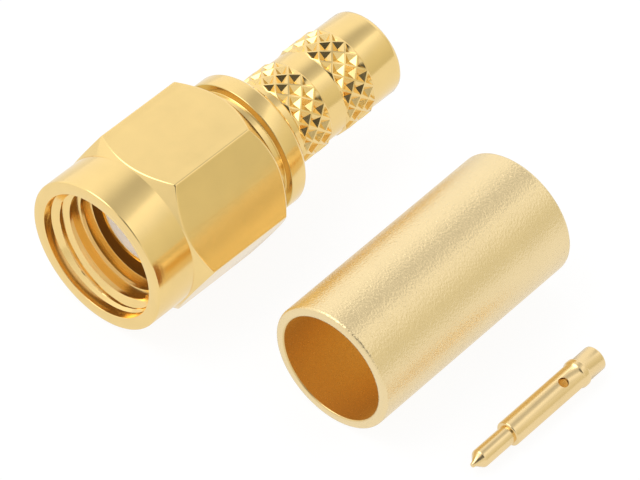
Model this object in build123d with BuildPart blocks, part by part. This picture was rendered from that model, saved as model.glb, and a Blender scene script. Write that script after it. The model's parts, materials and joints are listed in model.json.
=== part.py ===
"""SMA crimp plug as it is supplied: the plug, its crimp ferrule and its loose centre contact.

The plug lies on one flat of its coupling nut, with its axis along +X and its mating end
towards -X. The ferrule and the contact lie beside it on the same surface, towards -Y.
Millimetres, +Z up. The origin is on that surface, at the middle of the three pieces.
"""
import os
from math import atan2, cos, degrees, pi, radians, sin, tan

from build123d import *

os.makedirs("parts", exist_ok=True)

# Coupling nut, lengths measured from its front face
hex_wall = 0.745
nut_length = 8.4
rim_wall = 0.755
rim_length = 2.28
rim_break = 0.1
front_bevel_angle = 49
rear_bevel_angle = 43
rear_face_inset = 0.1
bar_allowance = 0.25

# Coupling thread, 1/4-36 UNS, bored to its minor diameter
thread_major_diameter = 6.35
thread_pitch = 25.4 / 36
thread_height_ratio = 0.5413
thread_length = 2.55
mouth_clearance = 0.1
mouth_recess = 0.48
relief_clearance = 0.08

# Retaining ring between nut and body
ring_stand = 0.325
ring_wall = 0.62
ring_width = 0.5
ring_gap = 0.9
ring_setback = 1.5
ring_seat_clearance = 0.08
ring_side_clearance = 0.05
nut_float = 0.15
nut_lip = 1.1

# Connector body
face_recess = 2.63
sleeve_wall = 0.23
sleeve_length = 1.5
barrel_step = 0.36
bearing_clearance = 0.05
nut_rear_gap = 0.25
neck_inset = 0.4
neck_length = 0.6
flange_inset = 0.5
flange_length = 1.15
flange_front_break = 0.08
flange_rear_chamfer = 0.27
cable_bore = 3.1
cable_bore_chamfer = 0.15
tail_wall = 0.69
tail_lead = 0.826
tail_end_land = 1.414
tail_end_chamfer = 0.2

# Diamond knurl, two bands of it on the crimp tail
knurl_count = 17
knurl_row_step = 0.434
knurl_rows = 6
knurl_taper = 0.2
knurl_gap = 0.37
knurl_stand = 0.11
knurl_depth = 0.24
knurl_end_inset = 0.04
knurl_core_margin = 0.1

# Insulator
insulator_diameter = 4.1
insulator_length = 4.6
insulator_clearance = 0.01
insulator_bore_clearance = 0.02

# Centre contact
tip_diameter = 0.92
tip_length = 2.43
tip_flat = 0.22
tip_nib = 0.28
tip_nib_length = 0.15
tip_cone_length = 0.37
contact_diameter = 1.27
contact_break = 0.08
collar_step = 0.075
collar_length = 0.5
collar_bevel = 0.12
contact_stub = 1.04
contact_end_chamfer = 0.08
contact_wall = 0.145
drill_point_angle = 118
solder_hole = 0.5
solder_hole_setback = 2.37
solder_bore_beyond_hole = 0.25
solder_hole_turn = 33

# Crimp ferrule
braid_room = 0.4
ferrule_wall = 0.5
ferrule_length = 12.9
ferrule_end_chamfer = 0.1
ferrule_bore_chamfer = 0.08

# How the pieces lie beside each other
ferrule_setback = 2.56
ferrule_spacing = 4.09
ferrule_yaw = 1.7
contact_setback = 4.31
contact_spacing = 2.93
contact_yaw = 1.2

# Radii that follow from the sizes above
major_r = thread_major_diameter / 2
minor_r = major_r - thread_height_ratio * thread_pitch
mouth_r = major_r + mouth_clearance
relief_r = major_r + relief_clearance
rim_r = major_r + rim_wall
hex_flat_r = relief_r + hex_wall
hex_corner_r = hex_flat_r / cos(radians(30))
bar_r = hex_corner_r + bar_allowance
rear_face_r = hex_flat_r - rear_face_inset
socket_r = insulator_diameter / 2 + insulator_clearance
sleeve_r = socket_r + sleeve_wall
barrel_r = sleeve_r + barrel_step
bearing_r = barrel_r + bearing_clearance
ring_r = barrel_r + ring_stand
ring_inner_r = ring_r - ring_wall
nut_groove_r = ring_r + ring_seat_clearance
body_groove_r = ring_inner_r - ring_seat_clearance
flange_r = hex_flat_r - flange_inset
neck_r = flange_r - neck_inset
cable_bore_r = cable_bore / 2
tail_r = cable_bore_r + tail_wall
tip_r = tip_diameter / 2
contact_r = contact_diameter / 2
collar_r = contact_r + collar_step
solder_bore_r = contact_r - contact_wall
insulator_bore_r = contact_r + insulator_bore_clearance

# Knurl, diamond pits pressed between crossing ridges that stand over the plain bands
knurl_length = (knurl_rows - 1) * knurl_row_step + 2 * knurl_taper
knurl_crest_r = tail_r + knurl_stand
knurl_pit_r = knurl_crest_r - knurl_depth
knurl_end_r = tail_r - knurl_end_inset
knurl_core_r = knurl_pit_r - knurl_core_margin
ferrule_bore_r = knurl_crest_r + braid_room
ferrule_r = ferrule_bore_r + ferrule_wall

# Stations along the plug, from the nut's front face
thread_start = mouth_recess + mouth_r - minor_r
ring_start = nut_length - ring_setback - ring_width / 2
ring_end = ring_start + ring_width
bearing_start = ring_start - nut_float - nut_lip
socket_end = face_recess + insulator_length
neck_start = nut_length + nut_rear_gap
flange_start = neck_start + neck_length
tail_start = flange_start + flange_length
knurl_starts = [tail_start + tail_lead, tail_start + tail_lead + knurl_length + knurl_gap]
plug_length = knurl_starts[1] + knurl_length + tail_end_land

# Stations along the contact, from its tip
collar_start = tip_length + insulator_length
collar_end = collar_start + collar_length
contact_length = collar_end + contact_stub
solder_hole_from_tip = contact_length - solder_hole_setback
solder_bore_end = solder_hole_from_tip - solder_hole / 2 - solder_bore_beyond_hole

# Where each piece lies: the contact rests on its collar and its front shoulder
collar_rest = collar_start + collar_bevel
contact_pitch = degrees(atan2(collar_r - contact_r, collar_rest - tip_length))
contact_tip_height = contact_r * cos(radians(contact_pitch)) - tip_length * sin(radians(contact_pitch))
ferrule_offset = hex_corner_r + ferrule_spacing + ferrule_r
contact_offset = ferrule_offset + ferrule_r + contact_spacing + collar_r
kit_depth = hex_corner_r + contact_offset + collar_r
plug_x = -plug_length / 2
plug_y = kit_depth / 2 - hex_corner_r


def lying_plane(x, y, height, yaw=0, pitch=0):
    """Half-section plane of a lying turned piece: local x is its axis, local y points up."""
    along = Vector(
        cos(radians(yaw)) * cos(radians(pitch)),
        sin(radians(yaw)) * cos(radians(pitch)),
        sin(radians(pitch)),
    )
    side = Vector(sin(radians(yaw)), -cos(radians(yaw)), 0)
    return Plane(origin=(x, y, height), x_dir=along, z_dir=side)


def turning_axis(plane):
    """Axis that a half section on this plane is turned about."""
    return Axis(plane.origin, plane.x_dir)


def cross_plane(plane, station):
    """Plane square to a turned piece's axis, a given length along it."""
    return Plane(origin=plane.from_local_coords((station, 0, 0)), x_dir=-plane.z_dir, z_dir=plane.x_dir)


plug_plane = lying_plane(plug_x, plug_y, hex_flat_r)
ferrule_plane = lying_plane(plug_x + ferrule_setback, plug_y - ferrule_offset, ferrule_r, ferrule_yaw)
contact_plane = lying_plane(
    plug_x + contact_setback, plug_y - contact_offset, contact_tip_height, contact_yaw, contact_pitch
)

# Coupling nut: turned from bar, hexagon milled, bored for the thread and the retaining ring
front_bevel_length = (bar_r - rim_r) / tan(radians(front_bevel_angle))
rear_bevel_length = (bar_r - rear_face_r) / tan(radians(rear_bevel_angle))
with BuildPart() as coupling_nut:
    with BuildSketch(plug_plane):
        with BuildLine():
            Polyline(
                (0, mouth_r),
                (0, rim_r - rim_break),
                (rim_break, rim_r),
                (rim_length, rim_r),
                (rim_length + front_bevel_length, bar_r),
                (nut_length - rear_bevel_length, bar_r),
                (nut_length, rear_face_r),
                (nut_length, bearing_r),
                (ring_end + nut_float, bearing_r),
                (ring_end + nut_float, nut_groove_r),
                (ring_start - nut_float, nut_groove_r),
                (ring_start - nut_float, bearing_r),
                (bearing_start, bearing_r),
                (bearing_start, relief_r),
                (thread_length, relief_r),
                (thread_length, minor_r),
                (thread_start, minor_r),
                (mouth_recess, mouth_r),
                close=True,
            )
        make_face()
    revolve(axis=turning_axis(plug_plane))
    with BuildSketch(cross_plane(plug_plane, 0)):
        RegularPolygon(hex_flat_r, 6, major_radius=False)
    extrude(amount=nut_length, mode=Mode.INTERSECT)
coupling_nut.part.label = "coupling_nut"
export_step(coupling_nut.part, "parts/coupling_nut.step")

# Retaining ring: a split ring that sits in the body's groove and stands into the nut's groove
with BuildPart() as retaining_ring:
    with BuildSketch(cross_plane(plug_plane, ring_start)):
        Circle(ring_r)
        Circle(ring_inner_r, mode=Mode.SUBTRACT)
        with Locations((0, ring_r)):
            Rectangle(ring_gap, 2 * ring_r, mode=Mode.SUBTRACT)
    extrude(amount=ring_width)
retaining_ring.part.label = "retaining_ring"
export_step(retaining_ring.part, "parts/retaining_ring.step")

# One knurled band: a net of ridge crossings and pits by turns, tapered to its flat ends
knurl_columns = 2 * knurl_count
knurl_stations = [0] + [knurl_taper + row * knurl_row_step for row in range(knurl_rows)] + [knurl_length]
knurl_last = len(knurl_stations) - 1


def net_corner(row, column):
    """Corner of the net: a crossing of the ridges, the bottom of a pit, or a point of the even ends."""
    radius = knurl_pit_r if (row + column) % 2 else knurl_crest_r
    if row in (0, knurl_last):
        radius = knurl_end_r
    turn = 2 * pi * column / knurl_columns
    return Vector(knurl_stations[row], -radius * sin(turn), radius * cos(turn))


def net_facets(row, column):
    """One mesh of the net, folded along the ridge that crosses it into two facets."""
    near, far = net_corner(row, column), net_corner(row + 1, column + 1)
    side, ahead = net_corner(row, column + 1), net_corner(row + 1, column)
    if (row + column) % 2 == 0:
        near, far, side, ahead = side, ahead, near, far
    return [Face(Wire.make_polygon((bottom, side, ahead))) for bottom in (near, far)]


def net_end(row):
    """Flat end of the band, through all corners of one row."""
    return Face(Wire.make_polygon([net_corner(row, column) for column in range(knurl_columns)]))


with BuildPart() as knurl_band:
    facets = [net_end(0), net_end(knurl_last)]
    for row in range(knurl_last):
        for column in range(knurl_columns):
            facets += net_facets(row, column)
    add(Solid(Shell(facets)))

# Connector body: one turned piece from the mating sleeve to the knurled crimp tail
body_groove_start = ring_start - ring_side_clearance
body_groove_end = ring_end + ring_side_clearance
with BuildPart() as connector_body:
    with BuildSketch(plug_plane):
        with BuildLine():
            Polyline(
                (face_recess, 0),
                (face_recess, sleeve_r),
                (face_recess + sleeve_length, sleeve_r),
                (face_recess + sleeve_length, barrel_r),
                (body_groove_start, barrel_r),
                (body_groove_start, body_groove_r),
                (body_groove_end, body_groove_r),
                (body_groove_end, barrel_r),
                (neck_start, barrel_r),
                (neck_start, neck_r),
                (flange_start, neck_r),
                (flange_start, flange_r - flange_front_break),
                (flange_start + flange_front_break, flange_r),
                (tail_start - flange_rear_chamfer, flange_r),
                (tail_start, flange_r - flange_rear_chamfer),
                (tail_start, tail_r),
                (knurl_starts[0], tail_r),
                (knurl_starts[0], knurl_core_r),
                (knurl_starts[0] + knurl_length, knurl_core_r),
                (knurl_starts[0] + knurl_length, tail_r),
                (knurl_starts[1], tail_r),
                (knurl_starts[1], knurl_core_r),
                (knurl_starts[1] + knurl_length, knurl_core_r),
                (knurl_starts[1] + knurl_length, tail_r),
                (plug_length - tail_end_chamfer, tail_r),
                (plug_length, tail_r - tail_end_chamfer),
                (plug_length, 0),
                close=True,
            )
        make_face()
    revolve(axis=turning_axis(plug_plane))
    for start in knurl_starts:
        with Locations(plug_plane.from_local_coords((start, 0, 0))):
            add(knurl_band.part)
    with BuildSketch(plug_plane):
        with BuildLine():
            Polyline(
                (face_recess, 0),
                (face_recess, socket_r),
                (socket_end, socket_r),
                (socket_end, cable_bore_r),
                (plug_length - cable_bore_chamfer, cable_bore_r),
                (plug_length, cable_bore_r + cable_bore_chamfer),
                (plug_length, 0),
                close=True,
            )
        make_face()
    revolve(axis=turning_axis(plug_plane), mode=Mode.SUBTRACT)
connector_body.part.label = "connector_body"
export_step(connector_body.part, "parts/connector_body.step")

# Insulator: a plain sleeve that the contact is pushed through until its collar meets the rear face
with BuildPart() as insulator:
    with BuildSketch(cross_plane(plug_plane, face_recess)):
        Circle(insulator_diameter / 2)
        Circle(insulator_bore_r, mode=Mode.SUBTRACT)
    extrude(amount=insulator_length)
insulator.part.label = "insulator"
export_step(insulator.part, "parts/insulator.step")

# Crimp ferrule: a plain tube with broken edges
with BuildPart() as crimp_ferrule:
    with BuildSketch(cross_plane(ferrule_plane, 0)):
        Circle(ferrule_r)
        Circle(ferrule_bore_r, mode=Mode.SUBTRACT)
    extrude(amount=ferrule_length)
    rims = crimp_ferrule.edges().filter_by(GeomType.CIRCLE).group_by(SortBy.RADIUS)
    chamfer(rims[-1], length=ferrule_end_chamfer)
    chamfer(rims[0], length=ferrule_bore_chamfer)
crimp_ferrule.part.label = "crimp_ferrule"
export_step(crimp_ferrule.part, "parts/crimp_ferrule.step")

# Centre contact: turned pin with a barbed collar, a solder bore and a solder hole
drill_point = solder_bore_r / tan(radians(drill_point_angle / 2))
with BuildPart() as centre_contact:
    with BuildSketch(contact_plane):
        with BuildLine():
            Polyline(
                (0, 0),
                (0, tip_flat / 2),
                (tip_nib_length, tip_nib / 2),
                (tip_nib_length + tip_cone_length, tip_r),
                (tip_length, tip_r),
                (tip_length, contact_r - contact_break),
                (tip_length + contact_break, contact_r),
                (collar_start, contact_r),
                (collar_start + collar_bevel, collar_r),
                (collar_end - collar_bevel, collar_r),
                (collar_end, contact_r),
                (contact_length - contact_end_chamfer, contact_r),
                (contact_length, contact_r - contact_end_chamfer),
                (contact_length, solder_bore_r),
                (solder_bore_end, solder_bore_r),
                (solder_bore_end - drill_point, 0),
                close=True,
            )
        make_face()
    revolve(axis=turning_axis(contact_plane))
    hole_plane = cross_plane(contact_plane, solder_hole_from_tip)
    up_share, side_share = cos(radians(solder_hole_turn)), sin(radians(solder_hole_turn))
    hole_direction = hole_plane.y_dir * up_share - hole_plane.x_dir * side_share
    with BuildSketch(Plane(origin=hole_plane.origin, x_dir=contact_plane.x_dir, z_dir=hole_direction)):
        Circle(solder_hole / 2)
    extrude(amount=contact_diameter, mode=Mode.SUBTRACT)
centre_contact.part.label = "centre_contact"
export_step(centre_contact.part, "parts/centre_contact.step")
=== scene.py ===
"""Looks of a coaxial crimp plug lying beside its crimp ferrule and its loose centre contact.

Each piece is modelled in millimetres along its own turning axis, local X, from its front end,
and is then set into the frame, in metres, where the packed part has it.
"""
import json
from math import atan2, ceil, cos, hypot, pi, radians, sin, tan
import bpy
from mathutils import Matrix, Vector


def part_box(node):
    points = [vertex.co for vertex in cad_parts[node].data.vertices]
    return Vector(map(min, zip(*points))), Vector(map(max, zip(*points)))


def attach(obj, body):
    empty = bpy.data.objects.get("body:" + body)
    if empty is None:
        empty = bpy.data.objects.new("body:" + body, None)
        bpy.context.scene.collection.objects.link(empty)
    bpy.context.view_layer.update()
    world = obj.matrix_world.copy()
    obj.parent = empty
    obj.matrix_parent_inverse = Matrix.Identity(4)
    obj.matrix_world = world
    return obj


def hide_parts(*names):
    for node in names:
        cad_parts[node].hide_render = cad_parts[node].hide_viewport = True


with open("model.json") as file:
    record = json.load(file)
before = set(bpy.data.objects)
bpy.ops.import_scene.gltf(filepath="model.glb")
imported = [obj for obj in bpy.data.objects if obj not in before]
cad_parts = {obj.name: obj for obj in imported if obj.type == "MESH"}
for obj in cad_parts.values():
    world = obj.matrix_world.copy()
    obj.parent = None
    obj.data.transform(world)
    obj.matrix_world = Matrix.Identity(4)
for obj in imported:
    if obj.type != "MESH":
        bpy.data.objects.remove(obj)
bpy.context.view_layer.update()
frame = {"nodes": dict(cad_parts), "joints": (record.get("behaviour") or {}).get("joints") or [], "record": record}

from types import SimpleNamespace

import bmesh
import bpy
from bpy.props import FloatProperty, FloatVectorProperty, PointerProperty
from mathutils import Matrix, Vector

bl_info = {
    "name": "Crimp plug looks",
    "version": (1, 0, 0),
    "blender": (4, 5, 0),
    "location": "View3D > Sidebar > Crimp plug",
    "description": "Models and finishes a coaxial crimp plug, its ferrule and its centre contact",
    "category": "Object",
}

MM = 0.001
TURN = 2 * pi
SIXTH = TURN / 6
MOUNTS = {mount["name"]: mount for mount in frame["record"]["mounts"]}
SPIN_JOINT = frame["joints"][0]
NUT_LOW, NUT_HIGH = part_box("coupling_nut")
BODY_LOW, BODY_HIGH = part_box("connector_body")
INSULATOR_LOW, INSULATOR_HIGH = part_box("insulator")
RING_LOW, RING_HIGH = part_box("retaining_ring")

# Rows of each knurled band along the tail and columns of pits round it
KNURL_ROWS = 5
KNURL_TEETH = 17

# Divisions round the turned pieces: whole numbers for each flat and for each knurl column
NUT_STEPS = 192
BODY_STEPS = 12 * KNURL_TEETH
FERRULE_STEPS = 192
CONTACT_STEPS = 96
DRILL_STEPS = 48

# Divisions of a rounded corner, of the hexagon's rounded edges and of a thread's flank
ROUND_SEGMENTS = 3
EDGE_ROWS = 4
FLANK_STEPS = 12

# Shares of the pitch: height of the thread, half of a crest and half of a root
THREAD_HEIGHT = 0.5413
CREST_HALF = 1 / 8
ROOT_HALF = 1 / 16

# Turns of the thread that are made before the mouth and drawn back to it
LEAD_TURNS = 2

# Millimetres: how far the rows to be milled stand off the hexagon's corners, and apart from each other
BAR_ALLOWANCE = 0.25
ROW_STEP = 0.01

# Millimetres: points closer than this are one
MERGE_DISTANCE = 1e-4

# Half the angle of a drill's point, and the angle from which an edge looks sharp
DRILL_POINT = radians(59)
SHARP_ANGLE = radians(35)


def plug_station(x):
    """Millimetres from the nut's front face to a place along the plug."""
    return (x - NUT_LOW.x) / MM


def ring_groove(room):
    """Front and rear of a groove with some room on each side of the retaining ring."""
    return plug_station(RING_LOW.x) - room, plug_station(RING_HIGH.x) + room


def bore_size(mount):
    """Diameter of a bore that is a mount, in millimetres."""
    return 2 * MOUNTS[mount]["dims"]["r_mm"]


def length(name, description, millimetres):
    """Length property, written in millimetres and kept in metres."""
    return FloatProperty(
        name=name, description=description, default=millimetres * MM, unit="LENGTH", precision=5
    )


def angle(name, description, degrees):
    """Angle property, written in degrees and kept in radians."""
    return FloatProperty(name=name, description=description, default=radians(degrees), subtype="ANGLE")


def share(name, description, value):
    """Property between nought and one."""
    return FloatProperty(name=name, description=description, default=value, min=0, max=1, subtype="FACTOR")


def colour(name, description, value):
    """Colour property, linear."""
    return FloatVectorProperty(
        name=name, description=description, default=value, size=3, min=0, max=1, subtype="COLOR"
    )


class NutSizes(bpy.types.PropertyGroup):
    """Sizes of the coupling nut, lengths from its front face."""

    nut_length: length("Length", "Length of the nut", plug_station(NUT_HIGH.x))
    across_flats: length("Across flats", "Size of the hexagon", (NUT_HIGH.z - NUT_LOW.z) / MM)
    rim_diameter: length("Rim", "Diameter of the round front", 7.86)
    rim_length: length("Rim length", "Length of the round front", 2.28)
    rear_face_diameter: length("Rear face", "Diameter of the rear face inside its bevel", 7.8)
    edge_break: length("Edge break", "Reach of the rounding beside the bevels' edges", 0.07)
    corner_break: length("Corner break", "Rounding radius of the hexagon's corners", 0.12)
    rim_break: length("Rim break", "Rounding of the turned edges", 0.09)
    thread_major: length("Thread", "Major diameter of the coupling thread", 6.35)
    thread_pitch: length("Pitch", "Pitch of the coupling thread", 25.4 / 36)
    thread_length: length("Thread length", "Where the thread ends in its relief", 2.72)
    first_crest: length("First crest", "Depth of the first thread crest on the lower wall", 0.44)
    mouth_diameter: length("Mouth", "Diameter of the plain mouth before the thread", 6.55)
    mouth_recess: length("Mouth recess", "Depth of the plain mouth", 0.48)
    relief_diameter: length("Relief", "Diameter of the relief behind the thread", 6.51)
    bearing_start: length("Bearing start", "Depth of the shoulder behind the relief", 5.4)
    bearing_diameter: length("Bearing", "Bore that turns on the body", 5.4)
    groove_diameter: length("Groove", "Groove for the retaining ring", 6.11)
    groove_float: length("Groove float", "Room on each side of the ring", 0.15)


class NutAngles(bpy.types.PropertyGroup):
    """Bevels of the coupling nut."""

    front_bevel: angle("Front bevel", "Slope from the round front up to the corners", 49)
    rear_bevel: angle("Rear bevel", "Slope of the rear bevel", 43)


class BodySizes(bpy.types.PropertyGroup):
    """Sizes of the connector body, stations from the nut's front face."""

    face_recess: length("Face recess", "Depth of the mating face in the nut", plug_station(BODY_LOW.x))
    plug_length: length("Plug length", "End of the crimp tail", plug_station(BODY_HIGH.x))
    sleeve_diameter: length("Sleeve", "Diameter of the mating sleeve", 4.58)
    sleeve_length: length("Sleeve length", "Length of the mating sleeve", 1.5)
    barrel_diameter: length("Barrel", "Diameter that the nut turns on", 5.3)
    groove_diameter: length("Groove", "Groove under the retaining ring", 4.55)
    groove_clearance: length("Groove clearance", "Room on each side of the ring", 0.05)
    neck_diameter: length("Neck", "Diameter of the neck", 6.2)
    neck_start: length("Neck start", "Front of the neck", 8.65)
    flange_start: length("Flange start", "Front of the flange", 9.25)
    flange_diameter: length("Flange", "Diameter of the flange", (BODY_HIGH.z - BODY_LOW.z) / MM)
    flange_rear_chamfer: length("Flange chamfer", "Chamfer on the rear of the flange", 0.27)
    tail_start: length("Tail start", "Rear of the flange", 10.4)
    tail_diameter: length("Tail", "Diameter of the plain bands of the tail", 4.48)
    tail_end_round: length("Tail end", "Rounding of the tail's end", 0.3)
    first_knurl: length("First knurl", "Start of the first knurled band", 11.326)
    knurl_step: length("Knurl step", "Rows of the knurl along the tail", 0.434)
    knurl_taper: length("Knurl taper", "Tapered ends of a knurled band", 0.1)
    knurl_gap: length("Knurl gap", "Plain band between the knurled ones", 1.004)
    knurl_pit: length("Knurl pits", "Diameter at the bottom of the pits", 4.22)
    knurl_crest: length("Knurl crest", "Diameter over the ridges of the knurl", 4.7)
    ridge_width: length("Ridge width", "Width of the ridges between the pits", 0.08)
    cable_bore: length("Cable bore", "Bore of the tail", bore_size("cable_bore"))
    bore_chamfer: length("Bore chamfer", "Chamfer of the cable bore", 0.15)
    socket_diameter: length("Socket", "Bore that holds the insulator", 4.12)
    socket_end: length("Socket end", "Bottom of that bore", plug_station(INSULATOR_HIGH.x))
    edge_break: length("Edge break", "Rounding of the turned edges", 0.05)


class InsulatorSizes(bpy.types.PropertyGroup):
    """Sizes of the insulator."""

    sleeve_length: length("Length", "Length of the insulator", (INSULATOR_HIGH.x - INSULATOR_LOW.x) / MM)
    sleeve_diameter: length("Diameter", "Its outside", (INSULATOR_HIGH.z - INSULATOR_LOW.z) / MM)
    bore: length("Bore", "Bore for the centre contact", 1.31)
    edge_break: length("Edge break", "Rounding of its edges", 0.05)


class FerruleSizes(bpy.types.PropertyGroup):
    """Sizes of the crimp ferrule."""

    tube_length: length("Length", "Length of the ferrule", 12.9)
    bore: length("Bore", "Bore of the ferrule", bore_size("ferrule_bore"))
    wall: length("Wall", "Wall of the ferrule", 0.5)
    outer_round: length("Outer round", "Rounding of the outer edges", 0.16)
    bore_round: length("Bore round", "Rounding of the bore's edges", 0.07)


class ContactSizes(bpy.types.PropertyGroup):
    """Sizes of the centre contact, stations from its tip."""

    pin_length: length("Length", "Length of the contact", 8.57)
    tip_diameter: length("Tip", "Diameter of the mating pin", 0.92)
    tip_flat: length("Tip flat", "Diameter of the flat point", 0.22)
    tip_nib: length("Tip nib", "Diameter of the nib behind it", 0.28)
    nib_length: length("Nib length", "Length of the nib", 0.15)
    tip_cone: length("Tip cone", "Length of the pointed end", 0.37)
    tip_length: length("Tip length", "Length of the mating pin", 2.43)
    barrel_diameter: length("Barrel", "Diameter of the barrel", 1.266)
    collar_start: length("Collar start", "Front of the collar", 7.03)
    collar_length: length("Collar length", "Length of the collar", 0.5)
    collar_bevel: length("Collar bevel", "Bevels of the collar", 0.12)
    collar_diameter: length("Collar", "Diameter of the collar", 1.416)
    solder_bore: length("Solder bore", "Bore for the conductor", bore_size("solder_bore"))
    solder_depth: length("Solder depth", "Depth of that bore", MOUNTS["solder_bore"]["dims"]["length_mm"])
    solder_hole: length("Solder hole", "Diameter of the cross hole", 0.5)
    solder_station: length("Solder station", "Middle of the cross hole", 6.06)
    edge_break: length("Edge break", "Rounding of its edges", 0.04)


class HoleAngle(bpy.types.PropertyGroup):
    """Lie of the contact's cross hole."""

    turn: angle("Solder turn", "Turn of the cross hole from straight up towards the front", 20)


class Finish(bpy.types.PropertyGroup):
    """Colours and roughness of the finishes."""

    bright_gold: colour("Bright gold", "Plate of the nut and the body", (0.93, 0.68, 0.285))
    contact_gold: colour("Contact gold", "Plate of the centre contact", (0.90, 0.68, 0.35))
    satin_gold: colour("Satin gold", "Plate of the ferrule", (0.90, 0.715, 0.40))
    bronze: colour("Bronze", "Bare spring bronze of the retaining ring", (0.62, 0.38, 0.17))
    # Partly the insulator's own waxy white, partly a warm tint that paints light bounced from the gold
    insulator_white_and_painted_bounce: colour("Insulator", "Waxy white of the insulator", (0.95, 0.87, 0.79))
    # Painted glow, as emission, on the nut's inner walls, standing in for light bounced from wall to wall
    nut_painted_glow: colour("Nut glow", "Light from wall to wall inside the nut", (0.035, 0.018, 0.0036))
    # Painted glow, as emission, inside the ferrule
    ferrule_painted_glow: colour("Ferrule glow", "The same inside the ferrule", (0.105, 0.050, 0.0085))
    # Painted glow and painted shade on the flange's front face, in the gap behind the nut
    gap_painted_glow: colour("Gap glow", "The same on the flange's front face", (0.045, 0.045, 0.018))
    gap_painted_shade: colour("Gap shade", "Shade of the plate there", (0.78, 0.81, 0.86))
    # Painted shade: a tint that darkens the plate inside the ferrule's bore
    bore_painted_shade: colour("Bore shade", "Shade of the plate inside the ferrule", (0.82, 0.76, 0.6))
    # Painted glow: share of emission in the insulator's colour
    insulator_painted_glow: share("Insulator glow", "Light that the insulator passes on", 0.16)
    bright_roughness: share("Bright roughness", "Roughness of the bright plate", 0.14)
    contact_roughness: share("Contact roughness", "Roughness of the centre contact's plate", 0.22)
    satin_roughness: share("Satin roughness", "Roughness of the satin plate", 0.26)


class StageSettings(bpy.types.PropertyGroup):
    """Floor, surround and camera."""

    surround_strength: FloatProperty(
        name="Surround", description="Strength of the soft surround", default=1.0
    )
    floor_size: length("Floor", "Width of the floor", 900)
    camera_distance: length("Camera distance", "From the camera to what it looks at", 273.2)
    camera_turn: angle("Camera turn", "Turn of the camera about the vertical", -47.43)
    camera_height: angle("Camera height", "Elevation of the camera", 45.67)
    camera_lens: FloatProperty(name="Lens", description="Focal length in millimetres", default=334.0)
    camera_aim: FloatVectorProperty(
        name="Aim", description="Point at the middle of the picture",
        default=(0.001381, 0.003394, 0.000016), size=3, precision=6, subtype="XYZ",
    )


class PlugSettings(bpy.types.PropertyGroup):
    """All settings of the crimp plug."""

    nut: PointerProperty(type=NutSizes)
    nut_angles: PointerProperty(type=NutAngles)
    body: PointerProperty(type=BodySizes)
    insulator: PointerProperty(type=InsulatorSizes)
    ferrule: PointerProperty(type=FerruleSizes)
    contact: PointerProperty(type=ContactSizes)
    hole: PointerProperty(type=HoleAngle)
    finish: PointerProperty(type=Finish)
    stage: PointerProperty(type=StageSettings)


def in_mm(settings):
    """Lengths of one group of settings, in millimetres."""
    names = type(settings).__annotations__
    return SimpleNamespace(**{name: getattr(settings, name) / MM for name in names})


# Placing and finishing a piece


def axis_matrix(origin, axis):
    """Frame of a turned piece: millimetres along and about its axis, into metres in the row frame."""
    along = Vector(axis).normalized()
    side = Vector((0, 0, 1)).cross(along).normalized()
    up = along.cross(side)
    turn = Matrix((along, side, up)).transposed().to_4x4()
    return Matrix.Translation(origin) @ turn @ Matrix.Scale(MM, 4)


def plug_matrix():
    """Frame of the plug, from the centre of the nut's front face."""
    return axis_matrix((NUT_LOW.x, SPIN_JOINT["pos_m"][1], SPIN_JOINT["pos_m"][2]), (1, 0, 0))


def ferrule_matrix(sizes):
    """Frame of the ferrule, from the centre of its front end."""
    bore = MOUNTS["ferrule_bore"]
    front = Vector(bore["axis"])
    origin = Vector(bore["pos_m"]) + front * sizes.tube_length * MM / 2
    return axis_matrix(origin, -front)


def contact_matrix(sizes):
    """Frame of the centre contact, from its tip."""
    bore = MOUNTS["solder_bore"]
    rear = Vector(bore["axis"])
    end = Vector(bore["pos_m"]) + rear * bore["dims"]["length_mm"] * MM / 2
    return axis_matrix(end - rear * sizes.pin_length * MM, rear)


def new_object(bm, name):
    """Object in the scene with what a mesh holds."""
    mesh = bpy.data.meshes.new(name)
    bm.to_mesh(mesh)
    made = bpy.data.objects.new(name, mesh)
    bpy.context.scene.collection.objects.link(made)
    return made


def finish_piece(bm, name, matrix, material):
    """Turn a modelled mesh into a piece that sits at the origin with its place in its mesh."""
    bmesh.ops.remove_doubles(bm, verts=bm.verts, dist=MERGE_DISTANCE)
    bmesh.ops.recalc_face_normals(bm, faces=bm.faces)
    if bm.calc_volume(signed=True) < 0:
        bmesh.ops.reverse_faces(bm, faces=bm.faces)
    bmesh.ops.transform(bm, matrix=matrix, verts=bm.verts)
    piece = new_object(bm, name)
    bm.free()
    piece.data.set_sharp_from_angle(angle=SHARP_ANGLE)
    piece.data.materials.append(material)
    normals = piece.modifiers.new("even_normals", "WEIGHTED_NORMAL")
    normals.keep_sharp = True
    normals.weight = 100
    # Areas are in square metres here, so like faces are told apart far below the usual limit
    normals.thresh = 1e-11
    return piece


# Turning


def outline(bm, corners, closed=False):
    """Half section as a chain of edges. A corner is (station, radius) or (station, radius, rounding)."""
    verts = [bm.verts.new((corner[0], 0, corner[1])) for corner in corners]
    for first, second in zip(verts, verts[1:]):
        bm.edges.new((first, second))
    if closed:
        bm.edges.new((verts[-1], verts[0]))
    rounded = [(vert, corner[2]) for vert, corner in zip(verts, corners) if len(corner) > 2]
    for vert, rounding in rounded:
        bmesh.ops.bevel(
            bm, geom=[vert], offset=rounding, offset_type="OFFSET", segments=ROUND_SEGMENTS, profile=0.5,
            affect="VERTICES", material=-1, clamp_overlap=False,
        )


def spin_round(bm, steps):
    """Turn all that a mesh holds once about local X."""
    bmesh.ops.spin(
        bm, geom=bm.verts[:] + bm.edges[:], cent=(0, 0, 0), axis=(1, 0, 0), dvec=(0, 0, 0),
        angle=TURN, steps=steps, use_merge=True, use_duplicate=False,
    )


def smooth_faces(bm):
    """Shade all faces of a mesh smooth."""
    for face in bm.faces:
        face.smooth = True


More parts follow.
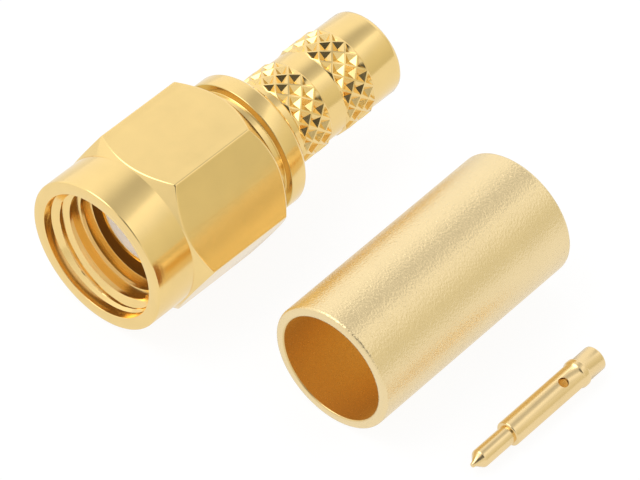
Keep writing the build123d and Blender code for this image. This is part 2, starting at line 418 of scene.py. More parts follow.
def join(bm, other):
    """Add a second mesh to the first and free it."""
    held = bpy.data.meshes.new("held")
    other.to_mesh(held)
    other.free()
    bm.from_mesh(held)
    bpy.data.meshes.remove(held)


def turned(bm, corners, steps, closed=False):
    """Surface of revolution of a half section about local X, joined to what the mesh already holds."""
    blank = bmesh.new()
    outline(blank, corners, closed)
    spin_round(blank, steps)
    smooth_faces(blank)
    join(bm, blank)


def radius_of(vert):
    """Distance of a vertex from the turning axis."""
    return hypot(vert.co.y, vert.co.z)


def set_radius(vert, radius):
    """Move a vertex square to the turning axis."""
    ratio = radius / radius_of(vert)
    vert.co.y *= ratio
    vert.co.z *= ratio


# Coupling nut


def milled_point(sizes, angles, turn, at_rear, share_round):
    """Station and radius of the hexagon's rounded edge in one direction, from the bevel to the flat."""
    off_middle = (turn + SIXTH / 2) % SIXTH - SIXTH / 2
    reach = sizes.across_flats / 2 / cos(off_middle)
    if abs(abs(off_middle) - SIXTH / 2) < MERGE_DISTANCE:
        reach -= sizes.corner_break * (1 / cos(SIXTH / 2) - 1)
    if at_rear:
        slope, direction = angles.rear_bevel, -1
        station = sizes.nut_length - (reach - sizes.rear_face_diameter / 2) / tan(slope)
    else:
        slope, direction = angles.front_bevel, 1
        station = sizes.rim_length + (reach - sizes.rim_diameter / 2) / tan(slope)
    soft = sizes.edge_break
    on_bevel, on_flat = (1 - share_round) ** 2 * soft, share_round ** 2 * soft
    return station + direction * (on_flat - on_bevel * cos(slope)), reach - on_bevel * sin(slope)


def mill_hexagon(bm, sizes, angles, bar_r):
    """Bring the bar-sized rows of the turned blank onto the hexagon, with rounded corners and edges."""
    step = TURN / NUT_STEPS
    middle = sizes.nut_length / 2
    beside_corner = sizes.corner_break * tan(SIXTH / 2) / (sizes.across_flats / 2 / cos(SIXTH / 2))
    for vert in bm.verts:
        row = round((radius_of(vert) - bar_r) / ROW_STEP)
        if row < 0:
            continue
        turn = atan2(vert.co.y, vert.co.z)
        off_corner = turn % SIXTH - SIXTH / 2
        if abs(abs(off_corner) - step) < step / 4:
            turn += (beside_corner - step) * (1 if off_corner > 0 else -1)
        station, reach = milled_point(sizes, angles, turn, vert.co.x > middle, row / EDGE_ROWS)
        vert.co = (station, reach * sin(turn), reach * cos(turn))


def thread_profile(sizes):
    """One pitch of the coupling thread, from crest to crest, with its flanks divided."""
    pitch = sizes.thread_pitch
    crest_half, root_half = pitch * CREST_HALF, pitch * ROOT_HALF
    flank = pitch / 2 - root_half - crest_half
    half = [0] + [crest_half + flank * step / FLANK_STEPS for step in range(FLANK_STEPS + 1)]
    return half + [pitch - station for station in reversed(half)]


def thread_radius(sizes, station):
    """Radius of the thread at a station from the middle of a crest."""
    pitch = sizes.thread_pitch
    major_r = sizes.thread_major / 2
    height = THREAD_HEIGHT * pitch
    crest_half, root_half = pitch * CREST_HALF, pitch * ROOT_HALF
    off_crest = abs((station + pitch / 2) % pitch - pitch / 2)
    climb = (off_crest - crest_half) / (pitch / 2 - root_half - crest_half)
    return major_r - height * (1 - min(1, max(0, climb)))


def lower_wall_turn(settings):
    """Turn about the axis of the wall that the camera sees through the nut's mouth."""
    height, side = settings.camera_height, settings.camera_turn
    return atan2(sin(height), -cos(side) * cos(height)) + pi


def cut_thread(sizes, seen_turn):
    """Inside thread from the plain mouth to the relief, as an open tube."""
    bm = bmesh.new()
    pitch = sizes.thread_pitch
    turns = ceil(sizes.thread_length / pitch) + LEAD_TURNS + 1
    seen_share = ((seen_turn - pi / 2) % TURN) / TURN
    start = sizes.first_crest - pitch * seen_share - LEAD_TURNS * pitch
    outline(bm, [(start + station, sizes.thread_major / 2) for station in thread_profile(sizes)])
    bmesh.ops.spin(
        bm, geom=bm.verts[:] + bm.edges[:], cent=(0, 0, 0), axis=(1, 0, 0),
        dvec=(pitch / NUT_STEPS, 0, 0), angle=TURN, steps=NUT_STEPS, use_duplicate=False,
    )
    one_turn = bm.verts[:] + bm.edges[:] + bm.faces[:]
    for count in range(1, turns):
        copied = bmesh.ops.duplicate(bm, geom=one_turn)["geom"]
        verts = [item for item in copied if isinstance(item, bmesh.types.BMVert)]
        bmesh.ops.translate(bm, vec=(pitch * count, 0, 0), verts=verts)
    first, last = sizes.mouth_recess, sizes.thread_length
    for vert in bm.verts:
        lead = -pitch * atan2(vert.co.y, vert.co.z) / TURN
        vert.co.x = min(max(vert.co.x, first), last)
        lead_in = sizes.mouth_diameter / 2 - (vert.co.x - first)
        set_radius(vert, max(thread_radius(sizes, vert.co.x - start - lead), lead_in))
    bmesh.ops.remove_doubles(bm, verts=bm.verts, dist=MERGE_DISTANCE)
    rear = [edge for edge in bm.edges if edge.is_boundary and edge.verts[0].co.x > last - MERGE_DISTANCE]
    step_up = bmesh.ops.extrude_edge_only(bm, edges=rear)
    for vert in step_up["geom"]:
        if isinstance(vert, bmesh.types.BMVert):
            set_radius(vert, sizes.relief_diameter / 2)
    smooth_faces(bm)
    return bm


def build_nut(settings):
    """Hexagonal coupling nut with its inside thread, turning with the nut body."""
    sizes, angles = in_mm(settings.nut), settings.nut_angles
    rim_r, rear_r = sizes.rim_diameter / 2, sizes.rear_face_diameter / 2
    bar_r = sizes.across_flats / 2 / cos(SIXTH / 2) + BAR_ALLOWANCE
    rows = [bar_r + row * ROW_STEP for row in range(EDGE_ROWS + 1)]
    groove_front, groove_rear = ring_groove(sizes.groove_float)
    bearing_r, groove_r = sizes.bearing_diameter / 2, sizes.groove_diameter / 2
    mouth_r, relief_r = sizes.mouth_diameter / 2, sizes.relief_diameter / 2
    soft = sizes.edge_break
    bm = bmesh.new()
    turned(bm, [
        (sizes.mouth_recess, mouth_r),
        (0, mouth_r, soft / 2),
        (0, rim_r, sizes.rim_break),
        (sizes.rim_length, rim_r),
        *[(sizes.rim_length + row - rim_r, row) for row in rows],
        *[(sizes.nut_length - row + rear_r, row) for row in reversed(rows)],
        (sizes.nut_length, rear_r, soft),
        (sizes.nut_length, bearing_r, soft),
        (groove_rear, bearing_r),
        (groove_rear, groove_r),
        (groove_front, groove_r),
        (groove_front, bearing_r),
        (sizes.bearing_start, bearing_r, soft),
        (sizes.bearing_start, relief_r, soft),
        (sizes.thread_length, relief_r),
    ], NUT_STEPS)
    bmesh.ops.remove_doubles(bm, verts=bm.verts, dist=MERGE_DISTANCE)
    mill_hexagon(bm, sizes, angles, bar_r)
    join(bm, cut_thread(sizes, lower_wall_turn(settings.stage)))
    finish, matrix = settings.finish, plug_matrix()
    material = bright_plate(
        "nut_plate", matrix, finish.bright_gold, finish.bright_roughness, finish, bore_r=mouth_r
    )
    piece = finish_piece(bm, "threaded_coupling_nut", matrix, material)
    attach(piece, "nut")
    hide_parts("coupling_nut")


# Connector body


def knurl_stations(sizes):
    """Rows of one knurled band along the tail, from its start."""
    rows = [sizes.knurl_taper + row * sizes.knurl_step for row in range(KNURL_ROWS)]
    return [0, *rows, rows[-1] + sizes.knurl_taper]


def knurl_net(bm, sizes, start):
    """One band of diamond pits between crossing ridges, tapered to its ends."""
    columns = 2 * KNURL_TEETH
    pit_r, crest_r, end_r = sizes.knurl_pit / 2, sizes.knurl_crest / 2, sizes.tail_diameter / 2
    stations = [start + station for station in knurl_stations(sizes)]
    last = len(stations) - 1
    blank = bmesh.new()
    outline(blank, [(station, crest_r) for station in stations])
    spin_round(blank, columns)
    crossings, middles = [], []
    for vert in blank.verts:
        row = min(range(last + 1), key=lambda index: abs(stations[index] - vert.co.x))
        column = round(atan2(vert.co.y, vert.co.z) / TURN * columns)
        if row in (0, last):
            set_radius(vert, end_r)
        if (row + column) % 2 == 0:
            crossings.append(vert)
        elif row not in (0, last):
            middles.append(vert)
    bmesh.ops.connect_verts(blank, verts=crossings)
    bmesh.ops.dissolve_verts(blank, verts=middles)
    diamonds = [face for face in blank.faces if len(face.verts) == 4]
    bmesh.ops.inset_individual(
        blank, faces=diamonds, thickness=sizes.ridge_width / 2, use_even_offset=True
    )
    pits = bmesh.ops.poke(blank, faces=diamonds)
    for vert in pits["verts"]:
        set_radius(vert, pit_r)
    ends = [edge for edge in blank.edges if edge.is_boundary]
    bmesh.ops.subdivide_edges(blank, edges=ends, cuts=BODY_STEPS // columns - 1)
    step = TURN / BODY_STEPS
    for vert in blank.verts:
        if vert.is_boundary:
            turn = step * round(atan2(vert.co.y, vert.co.z) / step)
            vert.co = (vert.co.x, end_r * sin(turn), end_r * cos(turn))
    join(bm, blank)


def build_body(settings):
    """Connector body from the mating sleeve to the knurled crimp tail."""
    sizes = in_mm(settings.body)
    soft = sizes.edge_break
    sleeve_r, barrel_r = sizes.sleeve_diameter / 2, sizes.barrel_diameter / 2
    neck_r, flange_r = sizes.neck_diameter / 2, sizes.flange_diameter / 2
    tail_r, bore_r = sizes.tail_diameter / 2, sizes.cable_bore / 2
    socket_r, groove_r = sizes.socket_diameter / 2, sizes.groove_diameter / 2
    groove_front, groove_rear = ring_groove(sizes.groove_clearance)
    knurl_length = knurl_stations(sizes)[-1]
    knurl_starts = [sizes.first_knurl, sizes.first_knurl + knurl_length + sizes.knurl_gap]
    knurl_ends = [start + knurl_length for start in knurl_starts]
    bm = bmesh.new()
    turned(bm, [
        (knurl_ends[1], tail_r),
        (sizes.plug_length, tail_r, sizes.tail_end_round),
        (sizes.plug_length, bore_r + sizes.bore_chamfer, soft / 2),
        (sizes.plug_length - sizes.bore_chamfer, bore_r, soft / 2),
        (sizes.socket_end, bore_r),
        (sizes.socket_end, socket_r),
        (sizes.face_recess, socket_r, soft / 2),
        (sizes.face_recess, sleeve_r, soft),
        (sizes.face_recess + sizes.sleeve_length, sleeve_r, soft),
        (sizes.face_recess + sizes.sleeve_length, barrel_r, soft),
        (groove_front, barrel_r),
        (groove_front, groove_r),
        (groove_rear, groove_r),
        (groove_rear, barrel_r),
        (sizes.neck_start, barrel_r),
        (sizes.neck_start, neck_r, soft),
        (sizes.flange_start, neck_r, soft),
        (sizes.flange_start, flange_r, soft),
        (sizes.tail_start - sizes.flange_rear_chamfer, flange_r, soft),
        (sizes.tail_start, flange_r - sizes.flange_rear_chamfer, soft),
        (sizes.tail_start, tail_r, soft),
        (knurl_starts[0], tail_r),
    ], BODY_STEPS)
    turned(bm, [(knurl_ends[0], tail_r), (knurl_starts[1], tail_r)], BODY_STEPS)
    bmesh.ops.remove_doubles(bm, verts=bm.verts, dist=MERGE_DISTANCE)
    for start in knurl_starts:
        knurl_net(bm, sizes, start)
    finish, matrix = settings.finish, plug_matrix()
    # Flange's front face beside the neck, which gets a painted shade and a painted glow
    gap = neck_r, sizes.flange_start
    material = bright_plate(
        "body_plate", matrix, finish.bright_gold, finish.bright_roughness, finish, gap=gap
    )
    piece = finish_piece(bm, "knurled_connector_body", matrix, material)
    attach(piece, "body")
    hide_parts("connector_body")


# Insulator, ferrule and centre contact


def build_insulator(settings):
    """Waxy white sleeve inside the body."""
    sizes = in_mm(settings.insulator)
    front = plug_station(INSULATOR_LOW.x)
    rear = front + sizes.sleeve_length
    soft = sizes.edge_break
    bm = bmesh.new()
    turned(bm, [
        (front, sizes.bore / 2, soft),
        (front, sizes.sleeve_diameter / 2, soft),
        (rear, sizes.sleeve_diameter / 2, soft),
        (rear, sizes.bore / 2, soft),
    ], NUT_STEPS, closed=True)
    material = waxy_white("insulator_white_and_painted_bounce", settings.finish)
    piece = finish_piece(bm, "insulator_sleeve", plug_matrix(), material)
    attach(piece, "body")
    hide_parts("insulator")


def build_ferrule(settings):
    """Satin tube with rounded ends."""
    sizes = in_mm(settings.ferrule)
    bore_r = sizes.bore / 2
    outer_r = bore_r + sizes.wall
    bm = bmesh.new()
    turned(bm, [
        (0, bore_r, sizes.bore_round),
        (0, outer_r, sizes.outer_round),
        (sizes.tube_length, outer_r, sizes.outer_round),
        (sizes.tube_length, bore_r, sizes.bore_round),
    ], FERRULE_STEPS, closed=True)
    matrix = ferrule_matrix(sizes)
    material = satin_plate("ferrule_plate", settings.finish, matrix, outer_r, bore_r)
    piece = finish_piece(bm, "crimp_ferrule_tube", matrix, material)
    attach(piece, "body")
    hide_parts("crimp_ferrule")


def drill_solder_hole(bm, sizes, turn):
    """Cut the cross hole through one wall of the contact."""
    bmesh.ops.remove_doubles(bm, verts=bm.verts, dist=MERGE_DISTANCE)
    bmesh.ops.recalc_face_normals(bm, faces=bm.faces)
    drill = bmesh.new()
    reach, hole_r = sizes.barrel_diameter, sizes.solder_hole / 2
    bmesh.ops.create_cone(
        drill, cap_ends=True, segments=DRILL_STEPS, radius1=hole_r, radius2=hole_r, depth=reach,
        matrix=Matrix.Translation((0, 0, reach / 2)),
    )
    place = Matrix.Translation((sizes.solder_station, 0, 0)) @ Matrix.Rotation(turn, 4, "X")
    bmesh.ops.transform(drill, matrix=place, verts=drill.verts)
    blank, cutter = new_object(bm, "blank"), new_object(drill, "drill")
    drill.free()
    cut = blank.modifiers.new("cut", "BOOLEAN")
    cut.operation = "DIFFERENCE"
    cut.solver = "EXACT"
    cut.object = cutter
    depsgraph = bpy.context.evaluated_depsgraph_get()
    drilled = bpy.data.meshes.new_from_object(blank.evaluated_get(depsgraph))
    bm.clear()
    bm.from_mesh(drilled)
    for holder in (blank, cutter):
        mesh = holder.data
        bpy.data.objects.remove(holder)
        bpy.data.meshes.remove(mesh)
    bpy.data.meshes.remove(drilled)


def build_contact(settings):
    """Turned pin with a collar, a solder bore and a cross hole."""
    sizes = in_mm(settings.contact)
    soft = sizes.edge_break
    tip_r, barrel_r = sizes.tip_diameter / 2, sizes.barrel_diameter / 2
    collar_r, bore_r = sizes.collar_diameter / 2, sizes.solder_bore / 2
    collar_end = sizes.collar_start + sizes.collar_length
    bore_end = sizes.pin_length - sizes.solder_depth
    bm = bmesh.new()
    turned(bm, [
        (0, 0),
        (0, sizes.tip_flat / 2, soft / 2),
        (sizes.nib_length, sizes.tip_nib / 2),
        (sizes.nib_length + sizes.tip_cone, tip_r, 2 * soft),
        (sizes.tip_length, tip_r),
        (sizes.tip_length, barrel_r, 2 * soft),
        (sizes.collar_start, barrel_r),
        (sizes.collar_start + sizes.collar_bevel, collar_r, soft),
        (collar_end - sizes.collar_bevel, collar_r, soft),
        (collar_end, barrel_r),
        (sizes.pin_length, barrel_r, 2 * soft),
        (sizes.pin_length, bore_r, soft / 2),
        (bore_end, bore_r),
        (bore_end - bore_r / tan(DRILL_POINT), 0),
    ], CONTACT_STEPS)
    matrix = contact_matrix(sizes)
    drill_solder_hole(bm, sizes, settings.hole.turn)
    finish = settings.finish
    material = bright_plate("contact_plate", matrix, finish.contact_gold, finish.contact_roughness)
    piece = finish_piece(bm, "centre_contact_pin", matrix, material)
    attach(piece, "body")
    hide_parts("centre_contact")


# Finishes

# Millimetres over which the painted glow and the painted shade inside a bore fade at its wall
GLOW_FADE = 0.03
SHADE_FADE = 0.12

# Millimetres from the flange's front face where its painted shade and glow start to fade and where they end
GAP_FADE = 0.02, 0.05

# Millimetres from the neck over which that painted shade and glow set in
GAP_FOOT = 0.06

# Fineness of the ferrule's marks along it and round it, for each millimetre
MARKS_ALONG = 12.0
MARKS_ROUND = 8.0


def opaque(shade):
    """Colour with its fourth part."""
    return (*shade, 1)


def connect(tree, node, feeds):
    """Give a node's sockets values, or what other sockets send."""
    for name, value in feeds.items():
        if isinstance(value, bpy.types.NodeSocket):
            tree.links.new(value, node.inputs[name])
        else:
            node.inputs[name].default_value = value


def add_node(tree, kind, feeds=None, **settings):
    """New shader node with its settings and what its sockets get."""
    node = tree.nodes.new(kind)
    for name, value in settings.items():
        setattr(node, name, value)
    connect(tree, node, feeds or {})
    return node


def new_finish(name):
    """New material with its principled shader."""
    material = bpy.data.materials.new(name)
    material.use_nodes = True
    return material, material.node_tree, material.node_tree.nodes["Principled BSDF"]


def calc(tree, operation, *values):
    """Math node of up to three values, each a number or a socket."""
    return add_node(tree, "ShaderNodeMath", dict(enumerate(values)), operation=operation).outputs[0]


def vector(tree, x, y, z=0.0):
    """Vector of three values, each a number or a socket."""
    return add_node(tree, "ShaderNodeCombineXYZ", {"X": x, "Y": y, "Z": z}).outputs["Vector"]


def axis_coordinates(tree, matrix):
    """Coordinates of a piece in millimetres, station along its axis, distance from it, turn about it."""
    source = add_node(tree, "ShaderNodeTexCoord")
    mapping = add_node(tree, "ShaderNodeMapping", {
        "Vector": source.outputs["Object"],
        "Location": matrix.to_translation(),
        "Rotation": matrix.to_euler(),
        "Scale": (MM, MM, MM),
    }, vector_type="TEXTURE")
    place = mapping.outputs["Vector"]
    station, across, up = add_node(tree, "ShaderNodeSeparateXYZ", {"Vector": place}).outputs
    squared = calc(tree, "ADD", calc(tree, "MULTIPLY", across, across), calc(tree, "MULTIPLY", up, up))
    return place, station, calc(tree, "SQRT", squared), calc(tree, "ARCTAN2", across, up)


def noise(tree, coordinates, scale, detail):
    """Noise on given coordinates."""
    feeds = {"Vector": coordinates, "Scale": scale, "Detail": detail}
    return add_node(tree, "ShaderNodeTexNoise", feeds, noise_dimensions="3D").outputs["Fac"]


def spread(tree, value, low, high):
    """Map a share from nought to one onto a range."""
    feeds = {"Value": value, "To Min": low, "To Max": high}
    return add_node(tree, "ShaderNodeMapRange", feeds).outputs["Result"]


def spread_between(tree, value, low, high):
    """Share from nought to one of a value between two limits."""
    feeds = {"Value": value, "From Min": low, "From Max": high}
    return add_node(tree, "ShaderNodeMapRange", feeds, interpolation_type="SMOOTHSTEP").outputs["Result"]


def blend(tree, factor, first, second):
    """Colour between two by a share."""
    feeds = {"Factor": factor, "A": first, "B": second}
    return add_node(tree, "ShaderNodeMix", feeds, data_type="RGBA").outputs["Result"]


def tinted(tree, shade, tint):
    """Colour times a tint."""
    feeds = {"Factor": 1.0, "A": shade, "B": opaque(tint)}
    mix = add_node(tree, "ShaderNodeMix", feeds, data_type="RGBA", blend_type="MULTIPLY")
    return mix.outputs["Result"]


def bump(tree, height, distance, strength):
    """Bump of a height that is a share of a real distance."""
    feeds = {"Height": height, "Distance": distance, "Strength": strength}
    return add_node(tree, "ShaderNodeBump", feeds).outputs["Normal"]


def shades(base, dark, light):
    """A darker and a lighter shade of a colour."""
    return [opaque(min(1.0, part * level) for part in base) for level in (dark, light)]


def paint_glow_inside(tree, shader, glow, inside):
    """Paint a glow, as emission, on what lies inside a piece, standing in for the light that many reflections
    carry in.
    """
    connect(tree, shader, {"Emission Color": opaque(glow), "Emission Strength": inside})


def bright_plate(name, matrix, base, roughness, finish=None, bore_r=None, gap=None):
    """Bright gold plate over turned brass, with faint tool marks round the axis.

    Walls inside bore_r get a painted glow, as emission, standing in for light from wall to wall. So does the face
    that a gap of (neck radius, station) names, which also gets a painted shade that darkens its plate.
    """
    material, tree, shader = new_finish(name)
    place, station, radius, _ = axis_coordinates(tree, matrix)
    rings = noise(tree, vector(tree, station, radius), scale=9.0, detail=3.0)
    cloud = noise(tree, place, scale=0.9, detail=2.0)
    plate = blend(tree, cloud, *shades(base, dark=0.94, light=1.04))
    if bore_r is not None:
        # Painted glow on the walls inside bore_r, as emission
        inside = spread_between(tree, radius, bore_r + GLOW_FADE, bore_r)
        paint_glow_inside(tree, shader, finish.nut_painted_glow, inside)
    if gap is not None:
        # Painted shade and painted glow: the plate on the flange's front face is darkened and given emission
        neck_r, face = gap
        fade_start, fade_end = GAP_FADE
        before = spread_between(tree, station, face + fade_end, face + fade_start)
        off_neck = spread_between(tree, radius, neck_r, neck_r + GAP_FOOT)
        inside = calc(tree, "MULTIPLY", off_neck, before)
        plate = blend(tree, inside, plate, tinted(tree, plate, finish.gap_painted_shade))
        paint_glow_inside(tree, shader, finish.gap_painted_glow, inside)
    connect(tree, shader, {
        "Base Color": plate,
        "Metallic": 1.0,
        "Roughness": spread(tree, rings, low=roughness - 0.03, high=roughness + 0.05),
        "Normal": bump(tree, rings, distance=0.004 * MM, strength=0.5),
    })
    return material


def satin_plate(name, finish, matrix, outer_r, bore_r):
    """Satin gold plate over a tumbled tube, with short marks, a painted shade that darkens the bore and a painted
    glow inside it, as emission.
    """
    material, tree, shader = new_finish(name)
    place, station, radius, turn = axis_coordinates(tree, matrix)
    girth = calc(tree, "MULTIPLY", turn, outer_r)
    along = calc(tree, "MULTIPLY", station, MARKS_ALONG)
    around = calc(tree, "MULTIPLY", girth, MARKS_ROUND)
    marks = noise(tree, vector(tree, along, around, radius), scale=1.0, detail=3.0)
    cloud = noise(tree, place, scale=0.7, detail=2.0)
    plate = blend(tree, cloud, *shades(finish.satin_gold, dark=0.97, light=1.03))
    # Painted shade: the plate is darkened inside the bore
    outside = spread_between(tree, radius, bore_r, bore_r + SHADE_FADE)
    height = calc(tree, "MULTIPLY", marks, outside)
    roughness = finish.satin_roughness
    connect(tree, shader, {
        "Base Color": blend(tree, outside, tinted(tree, plate, finish.bore_painted_shade), plate),
        "Metallic": 1.0,
        "Roughness": spread(tree, marks, low=roughness - 0.04, high=roughness + 0.04),
        "Normal": bump(tree, height, distance=0.03 * MM, strength=1.0),
    })
    # Painted glow inside the bore, as emission
    inside = spread_between(tree, radius, bore_r + GLOW_FADE, bore_r)
    paint_glow_inside(tree, shader, finish.ferrule_painted_glow, inside)
    return material


def waxy_white(name, finish):
    """Waxy white plastic, faintly milky, warm-tinted partly to paint light bounced from the gold, with a painted
    glow as emission.
    """
    material, tree, shader = new_finish(name)
    _, station, radius, _ = axis_coordinates(tree, plug_matrix())
    rings = noise(tree, vector(tree, station, radius), scale=7.0, detail=2.0)
    connect(tree, shader, {
        "Base Color": blend(tree, rings, *shades(finish.insulator_white_and_painted_bounce, dark=0.97, light=1.02)),
        "Roughness": 0.5,
        "Subsurface Weight": 0.2,
        "Subsurface Radius": (0.6 * MM, 0.5 * MM, 0.45 * MM),
        # Painted glow: emission in the insulator's colour
        "Emission Color": opaque(finish.insulator_white_and_painted_bounce),
        "Emission Strength": finish.insulator_painted_glow,
        "Normal": bump(tree, rings, distance=0.01 * MM, strength=0.4),
    })
    return material


def spring_bronze(name, finish):
    """Bare drawn bronze."""
    material, tree, shader = new_finish(name)
    _, station, radius, _ = axis_coordinates(tree, plug_matrix())
    rings = noise(tree, vector(tree, station, radius), scale=12.0, detail=2.0)
    connect(tree, shader, {
        "Base Color": blend(tree, rings, *shades(finish.bronze, dark=0.85, light=1.1)),
        "Metallic": 1.0,
        "Roughness": spread(tree, rings, low=0.25, high=0.4),
        "Normal": bump(tree, rings, distance=0.006 * MM, strength=0.5),
    })
    return material


def finish_ring(settings):
    """Bronze on the retaining ring, which keeps its own shape."""
    mesh = frame["nodes"]["retaining_ring"].data
    mesh.materials.clear()
    mesh.materials.append(spring_bronze("ring_bronze", settings.finish))


# Stage

# Plain white, its strength for the camera and that of the floor in reflections
WHITE = (1, 1, 1, 1)
WHITE_STRENGTH = 1.06
REFLECTED_FLOOR = 0.96

# Grey of the floor under the lights, and share of white over it that still leaves a shadow
FLOOR_GREY = (0.85, 0.85, 0.85, 1)
FLOOR_WHITE = 0.85

# Levels of the side panels and the wall under them, in degrees from straight up towards the loose pieces
TOP_LEVEL = 1.25
PANEL_LEVELS = [
    (-120, 0.95), (-80, 1.10), (-58, 1.14), (-47, 1.08), (-37, 1.0), (-30, 0.90),
    (-21, 0.70), (-14, 0.59), (-4, 0.60), (3, 0.68), (10, 0.80), (13, 0.92),
    (16, 1.2), (25, 1.14), (38, 0.96), (55, 0.82), (71, 0.74), (92, 0.70),
]
WALL_LEVELS = [(-108, 1.1), (0, 1.05), (36, 0.9), (90, 0.7)]

# Turn of the panels for a direction along the plug, and the part of it at which they stand straight
SKEW = radians(34)
SKEW_MIDDLE = 0.515

# Heights between which the wall gives way to the panels
PANEL_EDGE = 0.5, 0.72

# Shares of the turn between which the wall grows warm, and its tint there
WARM_EDGE = 0.5, 0.72
WARM_TINT = (1.0, 0.96, 0.78)

# Dim opening round the camera, lamp above the mating end and dimmer side before it: limits and strength
OPENING_EDGE = 0.90, 0.965
OPENING_DIM = 0.88
LAMP_DIRECTION = (-0.26, 0.39, 0.88)
LAMP_EDGE = 0.92, 0.97
LAMP_STRENGTH = 1.5
FRONT_EDGE = -0.6, -0.95
FRONT_DIM = 0.2


def send_mix(tree, output, factor, first, second):
    """Send two shaders, mixed by a share, to a new output."""
    feeds = {"Fac": factor, 1: first.outputs[0], 2: second.outputs[0]}
    mix = add_node(tree, "ShaderNodeMixShader", feeds)
    add_node(tree, output, {"Surface": mix.outputs[0]})


def build_floor(settings):
    """Plain white floor that keeps a faint shadow."""
    bm = bmesh.new()
    bmesh.ops.create_grid(bm, x_segments=8, y_segments=8, size=settings.floor_size / 2)
    floor = new_object(bm, "floor")
    bm.free()
    material = bpy.data.materials.new("floor_white")
    material.use_nodes = True
    tree = material.node_tree
    tree.nodes.clear()
    path = add_node(tree, "ShaderNodeLightPath").outputs
    strength = spread(tree, path["Is Camera Ray"], low=REFLECTED_FLOOR, high=WHITE_STRENGTH)
    lit = add_node(tree, "ShaderNodeBsdfDiffuse", {"Color": FLOOR_GREY})
    glow = add_node(tree, "ShaderNodeEmission", {"Color": WHITE, "Strength": strength})
    seen = calc(tree, "MAXIMUM", path["Is Camera Ray"], path["Is Glossy Ray"])
    seen = calc(tree, "MAXIMUM", seen, path["Is Transmission Ray"])
    send_mix(tree, "ShaderNodeOutputMaterial", calc(tree, "MULTIPLY", seen, FLOOR_WHITE), lit, glow)
    floor.data.materials.append(material)


def ramp(tree, lean, levels):
    """Grey ramp over a lean, which is a share of the turn, from (degrees, level) stops."""
    node = add_node(tree, "ShaderNodeValToRGB", {"Fac": lean})
    elements = node.color_ramp.elements
    elements.remove(elements[-1])
    for count, (degrees, level) in enumerate(levels):
        place = 0.5 + degrees / 360
        element = elements.new(place) if count else elements[0]
        element.position = place
        element.color = opaque([level / TOP_LEVEL] * 3)
    return node.outputs["Color"]


def toward(tree, direction, target):
    """How far a direction, given by its parts, points the way of another one."""
    along = [calc(tree, "MULTIPLY", part, other) for part, other in zip(direction, target)]
    return calc(tree, "ADD", calc(tree, "ADD", along[0], along[1]), along[2])


def camera_back(settings):
    """Direction from what the camera looks at to the camera."""
    turn, height = settings.camera_turn, settings.camera_height
    return Vector((sin(turn) * cos(height), -cos(turn) * cos(height), sin(height)))


def build_surround(settings):
    """Soft side panels with a dim gap and a small lamp over them, darkest at the camera, before white."""
    world = bpy.data.worlds.new("soft_surround")
    bpy.context.scene.world = world
    world.use_nodes = True
    tree = world.node_tree
    tree.nodes.clear()
    source = add_node(tree, "ShaderNodeTexCoord")
    way = add_node(tree, "ShaderNodeSeparateXYZ", {"Vector": source.outputs["Generated"]}).outputs
    x, y, z = way
    lean = calc(tree, "ARCTAN2", calc(tree, "MULTIPLY", y, -1.0), z)
    skew = calc(tree, "MULTIPLY", calc(tree, "SUBTRACT", SKEW_MIDDLE, x), SKEW)
    lean = calc(tree, "ADD", calc(tree, "DIVIDE", calc(tree, "SUBTRACT", lean, skew), TURN), 0.5)
    wall = ramp(tree, lean, WALL_LEVELS)
    warm = spread_between(tree, lean, *WARM_EDGE)
    wall = blend(tree, warm, wall, tinted(tree, wall, WARM_TINT))
    high = spread_between(tree, z, *PANEL_EDGE)
    panels = blend(tree, high, wall, ramp(tree, lean, PANEL_LEVELS))
    opening = spread_between(tree, toward(tree, way, camera_back(settings)), *OPENING_EDGE)
    lamp = spread_between(tree, toward(tree, way, LAMP_DIRECTION), *LAMP_EDGE)
    front = spread_between(tree, x, *FRONT_EDGE)
    strength = calc(tree, "MULTIPLY_ADD", opening, -OPENING_DIM, 1.0)
    strength = calc(tree, "ADD", strength, calc(tree, "MULTIPLY", lamp, LAMP_STRENGTH))
    strength = calc(tree, "SUBTRACT", strength, calc(tree, "MULTIPLY", front, FRONT_DIM))
    strength = calc(tree, "MULTIPLY", strength, TOP_LEVEL * settings.surround_strength)
    surround = add_node(tree, "ShaderNodeBackground", {"Color": panels, "Strength": strength})
    white = add_node(tree, "ShaderNodeBackground", {"Color": WHITE, "Strength": WHITE_STRENGTH})
    path = add_node(tree, "ShaderNodeLightPath").outputs
    seen = calc(tree, "MAXIMUM", path["Is Camera Ray"], path["Is Transmission Ray"])
    send_mix(tree, "ShaderNodeOutputWorld", seen, surround, white)


def build_camera(settings):
    """Long lens from the mating side, looking down at the three pieces."""
    back = camera_back(settings)
    data = bpy.data.cameras.new("camera")
    data.lens = settings.camera_lens
    data.sensor_width = 36
    data.clip_start = 0.01
    camera = bpy.data.objects.new("camera", data)
    bpy.context.scene.collection.objects.link(camera)
    camera.location = Vector(settings.camera_aim) + back * settings.camera_distance
    camera.rotation_euler = (-back).to_track_quat("-Z", "Y").to_euler()
    bpy.context.scene.camera = camera


def build_stage(settings):
    """Floor, surround, camera and plain colour handling."""
    bpy.context.scene.view_settings.view_transform = "Standard"
    build_floor(settings.stage)
    build_surround(settings.stage)
    build_camera(settings.stage)


# Operators and panel


class PieceOperator:
    """Shared running of one builder."""

    bl_options = {"REGISTER", "UNDO"}

    def execute(self, context):
        self.build(context.scene.crimp_plug)
        return {"FINISHED"}


class PLUG_OT_stage(PieceOperator, bpy.types.Operator):
    """Set up the floor, the surround and the camera"""

    bl_idname = "crimp_plug.stage"
    bl_label = "Stage"
    build = staticmethod(build_stage)


class PLUG_OT_coupling_nut(PieceOperator, bpy.types.Operator):
    """Model the threaded coupling nut"""

    bl_idname = "crimp_plug.coupling_nut"
    bl_label = "Coupling nut"
    build = staticmethod(build_nut)


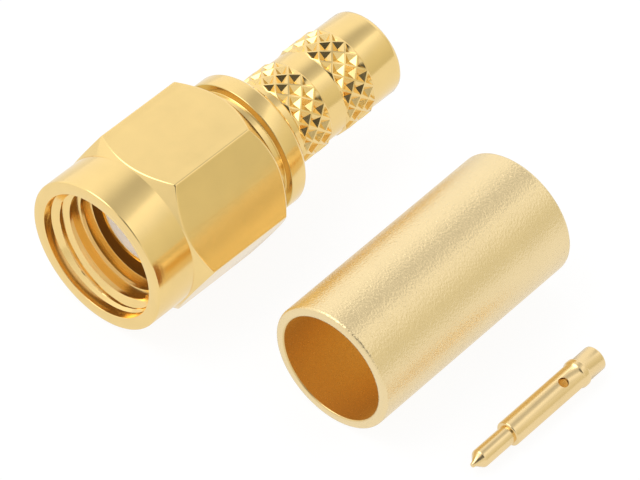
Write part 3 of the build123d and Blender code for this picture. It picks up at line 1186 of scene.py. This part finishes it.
class PLUG_OT_connector_body(PieceOperator, bpy.types.Operator):
    """Model the connector body with its knurled tail"""

    bl_idname = "crimp_plug.connector_body"
    bl_label = "Connector body"
    build = staticmethod(build_body)


class PLUG_OT_insulator(PieceOperator, bpy.types.Operator):
    """Model the white insulator"""

    bl_idname = "crimp_plug.insulator"
    bl_label = "Insulator"
    build = staticmethod(build_insulator)


class PLUG_OT_retaining_ring(PieceOperator, bpy.types.Operator):
    """Finish the retaining ring"""

    bl_idname = "crimp_plug.retaining_ring"
    bl_label = "Retaining ring"
    build = staticmethod(finish_ring)


class PLUG_OT_crimp_ferrule(PieceOperator, bpy.types.Operator):
    """Model the satin crimp ferrule"""

    bl_idname = "crimp_plug.crimp_ferrule"
    bl_label = "Crimp ferrule"
    build = staticmethod(build_ferrule)


class PLUG_OT_centre_contact(PieceOperator, bpy.types.Operator):
    """Model the centre contact"""

    bl_idname = "crimp_plug.centre_contact"
    bl_label = "Centre contact"
    build = staticmethod(build_contact)


OPERATORS = (
    PLUG_OT_stage,
    PLUG_OT_coupling_nut,
    PLUG_OT_connector_body,
    PLUG_OT_insulator,
    PLUG_OT_retaining_ring,
    PLUG_OT_crimp_ferrule,
    PLUG_OT_centre_contact,
)


class PLUG_PT_panel(bpy.types.Panel):
    """Settings and builders of the crimp plug"""

    bl_idname = "PLUG_PT_panel"
    bl_label = "Crimp plug"
    bl_space_type = "VIEW_3D"
    bl_region_type = "UI"
    bl_category = "Crimp plug"

    def draw(self, context):
        settings = context.scene.crimp_plug
        for operator in OPERATORS:
            self.layout.operator(operator.bl_idname)
        for name in PlugSettings.__annotations__:
            group = getattr(settings, name)
            box = self.layout.box()
            box.label(text=type(group).__doc__)
            for setting in type(group).__annotations__:
                box.prop(group, setting)


CLASSES = (
    NutSizes,
    NutAngles,
    BodySizes,
    InsulatorSizes,
    FerruleSizes,
    ContactSizes,
    HoleAngle,
    Finish,
    StageSettings,
    PlugSettings,
    *OPERATORS,
    PLUG_PT_panel,
)


def register():
    for entry in CLASSES:
        bpy.utils.register_class(entry)
    bpy.types.Scene.crimp_plug = PointerProperty(type=PlugSettings)


def unregister():
    del bpy.types.Scene.crimp_plug
    for entry in reversed(CLASSES):
        bpy.utils.unregister_class(entry)


def main():
    register()
    bpy.ops.crimp_plug.stage()
    bpy.ops.crimp_plug.coupling_nut()
    bpy.ops.crimp_plug.connector_body()
    bpy.ops.crimp_plug.insulator()
    bpy.ops.crimp_plug.retaining_ring()
    bpy.ops.crimp_plug.crimp_ferrule()
    bpy.ops.crimp_plug.centre_contact()


if __name__ == "__main__":
    main()
